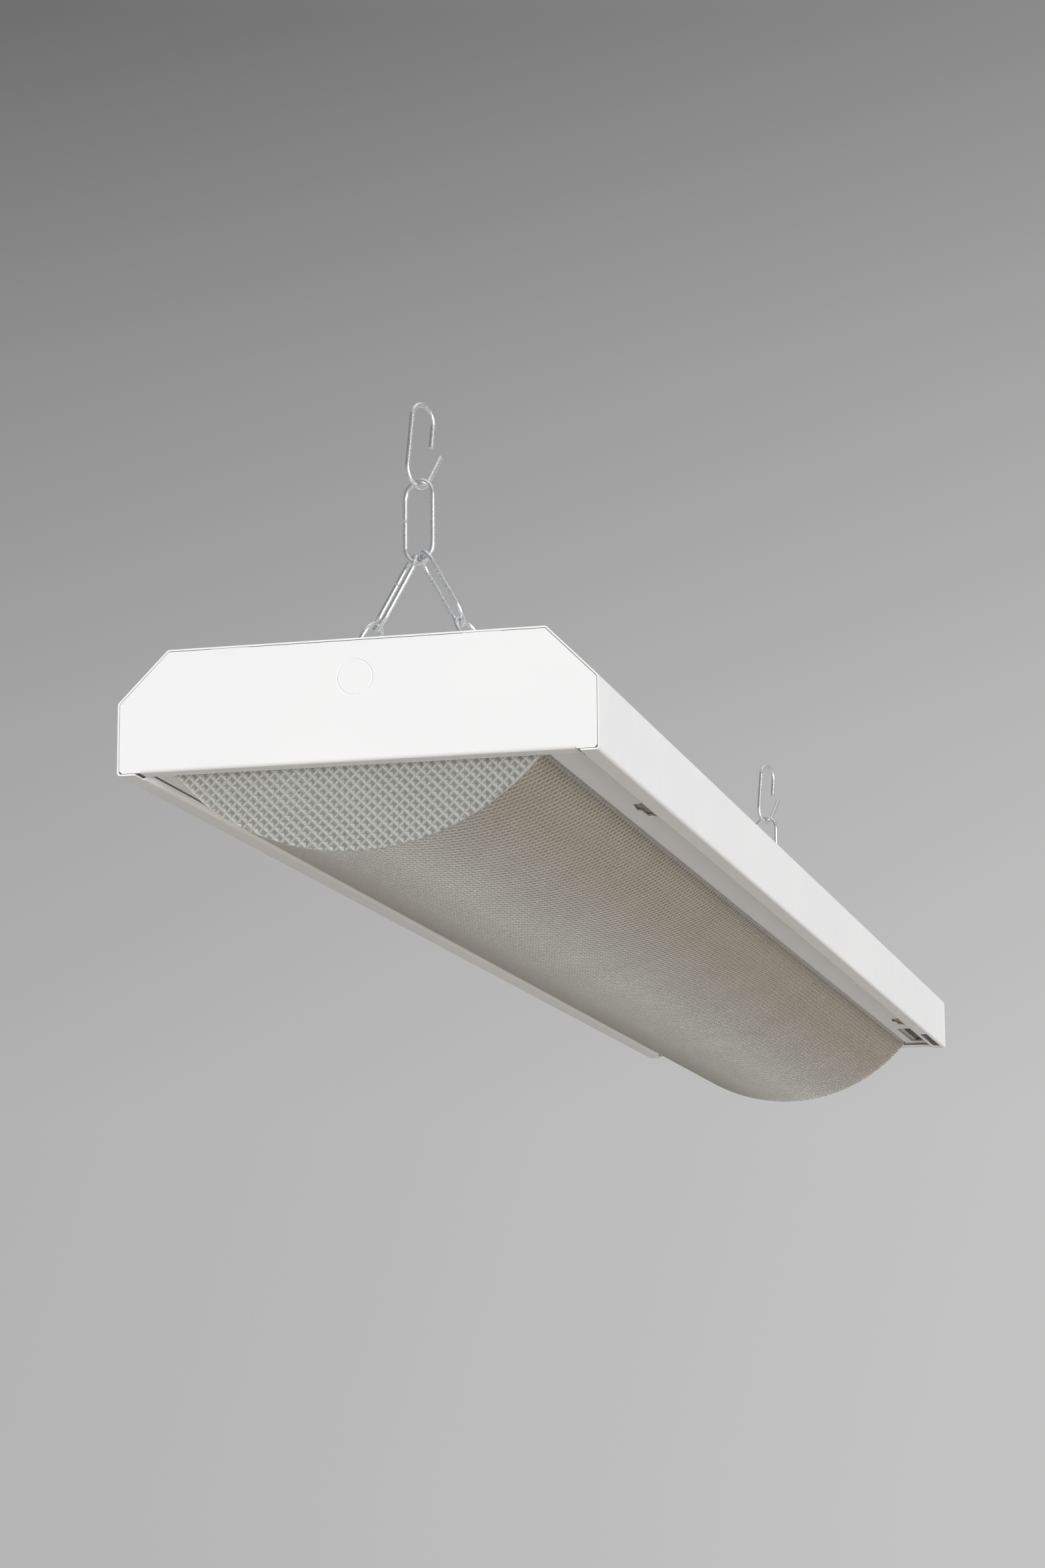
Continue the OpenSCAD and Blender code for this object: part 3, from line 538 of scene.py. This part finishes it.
def pitted_sheet(tree, length, width, columns, rows, wall):
    """A closed flat sheet in XY with ridges and future pits below, smooth on top.

    The point attribute pit is 1 where a pit will be pressed in."""
    grid = add(tree, "GeometryNodeMeshGrid", length, width, columns, rows).outputs["Mesh"]
    index = add(tree, "GeometryNodeInputIndex").outputs[0]
    column = maths(tree, "FLOOR", maths(tree, "DIVIDE", index, rows))
    row = maths(tree, "SUBTRACT", index, maths(tree, "MULTIPLY", column, rows))
    odd = maths(tree, "MODULO", maths(tree, "ADD", column, row), 2.0)
    marked = noted(tree, grid, "pit", odd)
    # For a moment the pits stand up and down in turn, so the diagonal between two ridge
    # crossings is the shorter one in every square, and the triangles split along the ridges.
    sign = maths(tree, "MULTIPLY_ADD", maths(tree, "MODULO", column, 2.0), 2.0, -1.0)
    lift = maths(tree, "MULTIPLY", maths(tree, "MULTIPLY", sign, odd), TRIAL_LIFT)
    lifted = moved(tree, marked, by=point(tree, 0.0, 0.0, lift))
    split = add(tree, "GeometryNodeTriangulate", lifted,
                quad_method="SHORTEST_DIAGONAL").outputs[0]
    at = add(tree, "GeometryNodeInputPosition").outputs[0]
    level = add(tree, "ShaderNodeVectorMath", at, (1, 1, 0), operation="MULTIPLY").outputs[0]
    flat = smoothed(tree, moved(tree, split, to=level), None, False)
    thick = add(tree, "GeometryNodeExtrudeMesh", flat, None, (0, 0, 1), wall, False)
    top = smoothed(tree, thick.outputs["Mesh"], thick.outputs["Top"], True)
    bottom = add(tree, "GeometryNodeFlipFaces", flat).outputs[0]
    both = joined(tree, bottom, top)
    return add(tree, "GeometryNodeMergeByDistance", both, None, SHEET_WELD).outputs[0]


def pit_here(tree, half_length, half_width, wall):
    """1 on the pits of the lower face, but not on the sheet's own edges; and the position."""
    pit = add(tree, "GeometryNodeInputNamedAttribute", "pit",
              data_type="FLOAT").outputs["Attribute"]
    x, y, z = position(tree)
    inside = maths(tree, "LESS_THAN", z, maths(tree, "MULTIPLY", wall, 0.5))
    for value, limit in ((x, half_length), (y, half_width)):
        edge = maths(tree, "SUBTRACT", limit, PLAIN_EDGE)
        short_of = maths(tree, "LESS_THAN", maths(tree, "ABSOLUTE", value), edge)
        inside = maths(tree, "MULTIPLY", inside, short_of)
    return maths(tree, "MULTIPLY", pit, inside), (x, y, z)

# %% [markdown]
# ### Rolled to its arc
# The places of the lens and its flanges come from the box of the CAD solid, so the pitted lens
# lies exactly where the plain one is. Rows beyond the arc stay flat and become the two flanges on
# the rails. The lattice was measured on the photograph: 6.45 mm along the light and 4.95 mm
# across it, and 5.38 mm on the end panels.

# %% Sizes of the lens
lens_low, lens_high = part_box("lens")
lens_wall = 2.2 * MM
lens_half_width = 93.1 * MM
lens_sag = 43.2 * MM
pit_depth = 1.3 * MM
cell_along = 6.45 * MM
cell_across = 4.95 * MM
panel_cell = 5.38 * MM
flange_cells = 4
arc_radius = (lens_half_width ** 2 + lens_sag ** 2) / (2 * lens_sag)
arc_half = arc_radius * math.asin(lens_half_width / arc_radius)
axis_z = lens_low.z + arc_radius
flange_z = lens_high.z - lens_wall
cells_half = round(arc_half / (cell_across / 2))
row_step = arc_half / cells_half
left_flange = (lens_high.y - lens_middle - lens_half_width) / (flange_cells * row_step)
right_flange = (lens_middle - lens_low.y - lens_half_width) / (flange_cells * row_step)
print("lens arc radius", round(arc_radius / MM, 1), "mm, half arc", round(arc_half / MM, 1), "mm")
print("it sits", round(lens_middle / MM, 1), "mm to the left; flanges stretched by",
      round(left_flange, 2), "and", round(right_flange, 2))

# %% The lens tree
FLANGE_STARTS = 0.1 * MM
tree, size, result, sockets = geometry_tree("Bowed prismatic lens", {
    "Length": "Float", "Arc radius": "Float", "Arc half": "Float", "Axis height": "Float",
    "Flange height": "Float", "Wall": "Float", "Pit depth": "Float", "Sheet width": "Float",
    "Middle": "Float", "Left flange": "Float", "Right flange": "Float",
    "Columns": "Int", "Rows": "Int", "Finish": "Material"})
sheet = pitted_sheet(
    tree, size["Length"], size["Sheet width"], size["Columns"], size["Rows"], size["Wall"])
half_length = maths(tree, "MULTIPLY", size["Length"], 0.5)
pit, (x, s, w) = pit_here(tree, half_length, size["Arc half"], size["Wall"])
# Along the arc: s is split into the part that bends and the spare part that lies on a rail.
right_end = maths(tree, "MULTIPLY", size["Arc half"], -1.0)
bowed = maths(tree, "MAXIMUM", maths(tree, "MINIMUM", s, size["Arc half"]), right_end)
spare = maths(tree, "SUBTRACT", s, bowed)
angle = maths(tree, "DIVIDE", bowed, size["Arc radius"])
on_flange = maths(tree, "GREATER_THAN", maths(tree, "ABSOLUTE", spare), FLANGE_STARTS)
# From the axis: the depth in the wall shortens the radius, but only where the lens is bowed.
depth = maths(tree, "MULTIPLY_ADD", pit, size["Pit depth"], w)
on_arc = maths(tree, "SUBTRACT", 1.0, on_flange)
radius = maths(tree, "SUBTRACT", size["Arc radius"], maths(tree, "MULTIPLY", depth, on_arc))
# Sideways: each flange is stretched to the edge that the CAD solid has on its side.
on_left = maths(tree, "GREATER_THAN", spare, 0.0)
difference = maths(tree, "SUBTRACT", size["Left flange"], size["Right flange"])
stretch = maths(tree, "MULTIPLY_ADD", on_left, difference, size["Right flange"])
ledge = maths(tree, "MULTIPLY_ADD", spare, stretch, size["Middle"])
across = maths(tree, "MULTIPLY_ADD", maths(tree, "SINE", angle), radius, ledge)
# Upwards: the arc hangs below its axis, and the flanges lie flat on the rails.
below_axis = maths(tree, "MULTIPLY", maths(tree, "COSINE", angle), radius)
arc_z = maths(tree, "SUBTRACT", size["Axis height"], below_axis)
above_arc = maths(tree, "SUBTRACT", maths(tree, "ADD", size["Flange height"], w), arc_z)
height = maths(tree, "MULTIPLY_ADD", above_arc, on_flange, arc_z)
rolled = moved(tree, sheet, to=point(tree, x, across, height))
completed(tree, rolled, size["Finish"], result)

# %% Make the lens
SHORT_OF_PANEL = 0.05 * MM
half_of_lens = lens_high.x - lens_wall - SHORT_OF_PANEL
column_pairs = round(half_of_lens / (cell_along / 2))
row_pairs = cells_half + flange_cells
lens_piece = made_by(tree, sockets, "prismatic_lens", {
    "Length": 2 * half_of_lens, "Arc radius": arc_radius, "Arc half": arc_half,
    "Axis height": axis_z, "Flange height": flange_z, "Wall": lens_wall,
    "Pit depth": pit_depth, "Sheet width": 2 * row_pairs * row_step, "Middle": lens_middle,
    "Left flange": left_flange, "Right flange": right_flange,
    "Columns": 2 * column_pairs + 1, "Rows": 2 * row_pairs + 1,
    "Finish": finishes["lens_plastic"]}, "lens_door")
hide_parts("lens")

# %% [markdown]
# ## The end panels
# A panel of the same plastic closes each end of the lens. It is the sheet again, stood on edge
# and cut to the arc of the lens by a drum, as a trimming die would do. It lies against the cut
# end of the lens and shows a fine bright joint line there.

# %% The end panel tree
DRUM_SIDES, DRUM_DEPTH = 360, 20 * MM
INNER_SKIN = 0.3 * MM
UP_TO_THE_RIGHT = (0.0, -0.7071, 0.7071)
tree, size, result, sockets = geometry_tree("Prismatic end panel", {
    "Width": "Float", "Height": "Float", "Top": "Float", "Face": "Float",
    "Arc radius": "Float", "Axis height": "Float", "Wall": "Float", "Pit depth": "Float",
    "Columns": "Int", "Rows": "Int", "Middle": "Float", "Turn": "Float", "Finish": "Material"})
sheet = pitted_sheet(
    tree, size["Width"], size["Height"], size["Columns"], size["Rows"], size["Wall"])
half_width = maths(tree, "MULTIPLY", size["Width"], 0.5)
half_height = maths(tree, "MULTIPLY", size["Height"], 0.5)
pit, (u, v, w) = pit_here(tree, half_width, half_height, size["Wall"])
depth = maths(tree, "MULTIPLY_ADD", pit, size["Pit depth"], w)
out = maths(tree, "ADD", depth, size["Face"])
up = maths(tree, "ADD", v, maths(tree, "SUBTRACT", size["Top"], half_height))
stood = moved(tree, sheet, to=point(tree, out, maths(tree, "MULTIPLY", u, -1.0), up))
drum = add(tree, "GeometryNodeMeshCylinder",
           DRUM_SIDES, 1, 1, size["Arc radius"], DRUM_DEPTH).outputs[0]
drum_at = point(tree, size["Face"], 0.0, size["Axis height"])
drum = add(tree, "GeometryNodeTransform", drum, drum_at, (0, FULL_TURN / 4, 0)).outputs[0]
cut = add(tree, "GeometryNodeMeshBoolean", operation="INTERSECT", solver="EXACT")
tree.links.new(stood, cut.inputs["Mesh 2"])
tree.links.new(drum, cut.inputs["Mesh 2"])
# The cut mixes up the point attribute, so it is written again from the depth of each point.
sunk = maths(tree, "SUBTRACT", position(tree)[0], size["Face"])
outside = maths(tree, "LESS_THAN", sunk, maths(tree, "SUBTRACT", size["Wall"], INNER_SKIN))
share = maths(tree, "MULTIPLY", outside, maths(tree, "DIVIDE", sunk, size["Pit depth"]))
marked = noted(tree, cut.outputs[0], "pit", share)
# Facets that look up to the right get a painted highlight, so each face keeps how far it does.
facing = add(tree, "GeometryNodeInputNormal").outputs[0]
slant = add(tree, "ShaderNodeVectorMath", facing, UP_TO_THE_RIGHT,
            operation="DOT_PRODUCT").outputs["Value"]
marked = noted(tree, marked, "slant", slant, "FACE")
placed = add(tree, "GeometryNodeTransform", marked, point(tree, 0.0, size["Middle"], 0.0),
             point(tree, 0.0, 0.0, size["Turn"])).outputs[0]
completed(tree, placed, size["Finish"], result)

# %% Make both end panels
SPARE_HEIGHT, SPARE_WIDTH = 3 * MM, 4 * MM
panel_height = end_high.z - lens_low.z + SPARE_HEIGHT
panel_width = 2 * lens_half_width + SPARE_WIDTH
for name, node, turn in (("near_lens_panel", "near_lens_end", 0.0),
                         ("far_lens_panel", "far_lens_end", FULL_TURN / 2)):
    panel = made_by(tree, sockets, name, {
        "Width": panel_width, "Height": panel_height, "Top": end_high.z, "Face": end_low.x,
        "Arc radius": arc_radius, "Axis height": axis_z, "Wall": lens_wall,
        "Pit depth": pit_depth, "Columns": 2 * round(panel_width / panel_cell) + 1,
        "Rows": 2 * round(panel_height / panel_cell) + 1, "Middle": lens_middle, "Turn": turn,
        "Finish": finishes["lens_end_plastic"]}, "lens_door")
    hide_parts(node)

# %% [markdown]
# ## Screws
# The solids have plain pegs with a slot. A real pan-head screw has a domed head with a cross
# recess and a thread, all of which follow rules: the head is a turned outline, and the thread is
# a radius that rises and falls once per pitch while the angle goes round. One tree makes the
# screw and sets copies of it on a grid, each turned by chance, as a hand driver leaves them.

# %% The screw tree
HEAD_SIDES, HEAD_RINGS, SHANK_SIDES = 33, 9, 25
HEAD_STEPS = HEAD_RINGS - 1
DOME_SIDE, DOME_RISE = 0.55, 0.8
NEARLY_UPRIGHT, TOP_RING = 0.9999, 0.999
THREAD_ROOT, THREAD_SWELL, END_ROUNDING = 0.78, 0.44, 0.9
RECESS_SLIM, RECESS_DEEP = 0.24, 1.3
SCREW_WELD = 0.002 * MM
CREASE = 0.7
tree, size, result, sockets = geometry_tree("Pan-head screws", {
    "Shank diameter": "Float", "Head diameter": "Float", "Head height": "Float",
    "Length": "Float", "Pitch": "Float", "Recess": "Float", "Along": "Float",
    "Across": "Float", "Middle": "Float", "Seat": "Float", "Tipped": "Float",
    "Many along": "Int", "Many across": "Int", "Rows": "Int", "Seed": "Int",
    "Finish": "Material"})


def turned(around, rows, outline):
    """A turned solid: outline gives radius and height for the share round and the share up."""
    grid = add(tree, "GeometryNodeMeshGrid", 1.0, 1.0, around, rows).outputs["Mesh"]
    round_share, up_share = (maths(tree, "ADD", v, 0.5) for v in position(tree)[:2])
    radius, height = outline(round_share, up_share)
    angle = maths(tree, "MULTIPLY", round_share, FULL_TURN)
    spot = point(tree, maths(tree, "MULTIPLY", maths(tree, "COSINE", angle), radius),
                 maths(tree, "MULTIPLY", maths(tree, "SINE", angle), radius), height)
    shaped = moved(tree, grid, to=spot)
    return add(tree, "GeometryNodeMergeByDistance", shaped, None, SCREW_WELD).outputs[0]


def head_outline(round_share, up_share):
    """The first step is the flat underside, and all the others climb the dome."""
    wide = maths(tree, "MULTIPLY", size["Head diameter"], 0.5)
    climb = maths(tree, "MULTIPLY_ADD", up_share,
                  HEAD_STEPS / (HEAD_STEPS - 1), -1 / (HEAD_STEPS - 1))
    climb = maths(tree, "MAXIMUM", climb, 0.0)
    lean = maths(tree, "MULTIPLY", climb, FULL_TURN / 4 * NEARLY_UPRIGHT)
    dome = maths(tree, "POWER", maths(tree, "COSINE", lean), DOME_SIDE)
    under = maths(tree, "MINIMUM", maths(tree, "MULTIPLY", up_share, float(HEAD_STEPS)), 1.0)
    top = maths(tree, "LESS_THAN", up_share, TOP_RING)
    share = maths(tree, "MULTIPLY", top, maths(tree, "MULTIPLY", dome, under))
    rise = maths(tree, "POWER", maths(tree, "SINE", lean), DOME_RISE)
    return (maths(tree, "MULTIPLY", wide, share),
            maths(tree, "MULTIPLY", size["Head height"], rise))


def shank_outline(round_share, up_share):
    """The thread rises and falls once per pitch and closes at both ends."""
    outer = maths(tree, "MULTIPLY", size["Shank diameter"], 0.5)
    tip = maths(tree, "MULTIPLY", size["Length"], -1.0)
    height = maths(tree, "MULTIPLY_ADD", up_share, size["Length"], tip)
    turns = maths(tree, "ADD", maths(tree, "DIVIDE", height, size["Pitch"]), round_share)
    wave = maths(tree, "PINGPONG", turns, 0.5)
    thread = maths(tree, "MULTIPLY_ADD", wave, THREAD_SWELL, THREAD_ROOT)
    from_end = maths(tree, "MINIMUM", up_share, maths(tree, "SUBTRACT", 1.0, up_share))
    rings = maths(tree, "MULTIPLY", from_end, maths(tree, "SUBTRACT", size["Rows"], 1.0))
    ends = maths(tree, "MINIMUM", maths(tree, "MULTIPLY", rings, END_ROUNDING), 1.0)
    return maths(tree, "MULTIPLY", outer, maths(tree, "MULTIPLY", thread, ends)), height


head = turned(HEAD_SIDES, HEAD_RINGS, head_outline)
shank = turned(SHANK_SIDES, size["Rows"], shank_outline)
cross = add(tree, "GeometryNodeMeshBoolean", operation="DIFFERENCE", solver="EXACT")
tree.links.new(head, cross.inputs["Mesh 1"])
slot_width = maths(tree, "MULTIPLY", size["Recess"], RECESS_SLIM)
slot_depth = maths(tree, "MULTIPLY", size["Head height"], RECESS_DEEP)
for long_side, short_side in ((size["Recess"], slot_width), (slot_width, size["Recess"])):
    bar = add(tree, "GeometryNodeMeshCube",
              point(tree, long_side, short_side, slot_depth)).outputs["Mesh"]
    bar_at = point(tree, 0.0, 0.0, size["Head height"])
    bar = add(tree, "GeometryNodeTransform", bar, bar_at).outputs[0]
    tree.links.new(bar, cross.inputs["Mesh 2"])
smooth = smoothed(tree, joined(tree, shank, cross.outputs[0]), None, True)
edge_angle = add(tree, "GeometryNodeInputMeshEdgeAngle").outputs["Unsigned Angle"]
creased = maths(tree, "GREATER_THAN", edge_angle, CREASE)
screw = smoothed(tree, smooth, creased, False, domain="EDGE")
seats = add(tree, "GeometryNodeMeshGrid", size["Along"], size["Across"],
            size["Many along"], size["Many across"]).outputs["Mesh"]
seats = moved(tree, seats, by=point(tree, 0.0, size["Middle"], size["Seat"]))
chance = add(tree, "FunctionNodeRandomValue", 0.0, FULL_TURN, None, size["Seed"],
             data_type="FLOAT").outputs[1]
stance = add(tree, "FunctionNodeEulerToRotation",
             point(tree, size["Tipped"], 0.0, chance)).outputs[0]
screws = add(tree, "GeometryNodeInstanceOnPoints",
             seats, None, screw, None, None, stance).outputs[0]
completed(tree, screws, size["Finish"], result)

# %% Make the screws
HEAD_WIDE, HEAD_TALL = 7.0 * MM, 2.2 * MM
SHANK_WIDE, PITCH, RECESS = 3.5 * MM, 1.27 * MM, 3.6 * MM
THREAD_STEP = 0.2 * MM
for name, node, across_count, tipped, seed in (
        ("pan_head_end_screws", "end_plate_screws", 2, 0.0, 3),
        ("pan_head_cover_screws", "cover_screws", 2, FULL_TURN / 2, 5),
        ("pan_head_ballast_screws", "ballast_screws", 1, FULL_TURN / 2, 8)):
    low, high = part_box(node)
    length = high.z - low.z - HEAD_TALL
    screws = made_by(tree, sockets, name, {
        "Shank diameter": SHANK_WIDE, "Head diameter": HEAD_WIDE, "Head height": HEAD_TALL,
        "Length": length, "Pitch": PITCH, "Recess": RECESS,
        "Along": high.x - low.x - HEAD_WIDE,
        "Across": (high.y - low.y - HEAD_WIDE) * (across_count - 1),
        "Middle": (low.y + high.y) / 2, "Seat": low.z + (HEAD_TALL if tipped else length),
        "Tipped": tipped, "Many along": 2, "Many across": across_count,
        "Rows": 2 + round(length / THREAD_STEP), "Seed": seed,
        "Finish": finishes["screw_zinc"]}, "housing")
    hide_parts(node)
    print("  box", [[round(v / MM, 2) for v in c] for c in (low, high)])

# %% [markdown]
# ## Studio
# The light hangs well above a pale floor. One very wide sun stands for a large soft box to the
# near right, a little below the height of the housing, so it reaches the lamps through the clear
# end panel and falls evenly along the whole length, which a lamp close by would not. The world
# gives the rest. What the camera sees behind the object is set apart from what lights it, with a
# tone that follows the height in the sky, by the Light Path outputs.

# %% Floor
FLOOR_Z, FLOOR_HALF = -1.60, 4
corners = [(x * FLOOR_HALF, y * FLOOR_HALF, FLOOR_Z)
           for x, y in ((-1, -1), (1, -1), (1, 1), (-1, 1))]
floor_mesh = bpy.data.meshes.new("Floor")
floor_mesh.from_pydata(corners, [], [(0, 1, 2, 3)])
floor = bpy.data.objects.new("Floor", floor_mesh)
scene.collection.objects.link(floor)
floor_material, floor_tree, floor_shader = finish("Pale floor")
floor_clouds = grain(floor_tree, place(floor_tree), 700, 3)
floor_tone = ramp(floor_tree, floor_clouds, (0.50, 0.465, 0.425), (0.53, 0.495, 0.455))
floor_tree.links.new(floor_tone, floor_shader.inputs["Base Color"])
floor_shader.inputs["Roughness"].default_value = 0.8
floor_mesh.materials.append(floor_material)
floor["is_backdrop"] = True
print("floor", round(-FLOOR_Z, 2), "m below the hooks")

# %% Soft daylight all round
AT_HORIZON, MORE_OVERHEAD = 0.42, 0.50
world = bpy.data.worlds.new("Studio")
scene.world = world
world.use_nodes = True
sky = world.node_tree
direction = sky.nodes.new("ShaderNodeTexCoord").outputs["Generated"]
height = add(sky, "ShaderNodeSeparateXYZ", direction).outputs["Z"]
daylight = maths(sky, "MULTIPLY_ADD", maths(sky, "MAXIMUM", height, 0.0),
                 MORE_OVERHEAD, AT_HORIZON)
print("daylight from", AT_HORIZON, "at the horizon to", AT_HORIZON + MORE_OVERHEAD, "overhead")

# %% The backdrop that the camera sees
SIDE_LIMIT, SIDE_SLOPE = 0.2, 0.34
backdrop = sky.nodes.new("ShaderNodeValToRGB")
stops = backdrop.color_ramp.elements
heights = ((0.0, 0.505), (0.1, 0.495), (0.2, 0.43), (0.3, 0.325), (0.39, 0.205),
           (0.65, 0.36), (1.0, 1.0))
for at, _ in heights[1:-1]:
    stops.new(at)
for stop, (at, grey) in zip(stops, heights):
    stop.color = (grey, grey, grey, 1)
sky.links.new(height, backdrop.inputs["Fac"])
sideways = add(sky, "ShaderNodeVectorMath", direction, tuple(view_right),
               operation="DOT_PRODUCT").outputs["Value"]
sideways = maths(sky, "MINIMUM", maths(sky, "MAXIMUM", sideways, -SIDE_LIMIT), SIDE_LIMIT)
seen_tone = maths(sky, "MULTIPLY_ADD", sideways, SIDE_SLOPE, backdrop.outputs["Color"])
path = sky.nodes.new("ShaderNodeLightPath")
seen = maths(sky, "MAXIMUM", path.outputs["Is Camera Ray"],
             maths(sky, "MAXIMUM", path.outputs["Is Glossy Ray"],
                   path.outputs["Is Transmission Ray"]))
background = sky.nodes["Background"]
sky.links.new(mixed(sky, seen, daylight, seen_tone), background.inputs["Color"])
background.inputs["Strength"].default_value = 1.0
print("backdrop stops:", len(stops))

# %% The wide low sun
sun_data = bpy.data.lights.new("Soft sun", "SUN")
sun_data.energy = 2.38
sun_data.color = (0.985, 0.992, 1.0)
sun_data.angle = math.radians(24)
sun = bpy.data.objects.new("Soft sun", sun_data)
scene.collection.objects.link(sun)
sun_turn, sun_rise = math.radians(42.5), math.radians(-4.5)
towards_sun = Vector((-math.cos(sun_turn) * math.cos(sun_rise),
                      -math.sin(sun_turn) * math.cos(sun_rise), math.sin(sun_rise)))
sun.matrix_world = (-towards_sun).to_track_quat("-Z", "Y").to_matrix().to_4x4()
scene.view_settings.view_transform = "Standard"
print("sun", round(sun_data.energy / math.pi, 2), "times white, from",
      [round(v, 2) for v in towards_sun])

# %% [markdown]
# ## Sizes
# Both boxes, of the CAD model and of the dressed model, are printed. The dressed model must not
# grow out of the box of the CAD model.

# %% Sizes
size = {"cad": cad_box, "visual": [list(corner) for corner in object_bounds()]}
print(size)
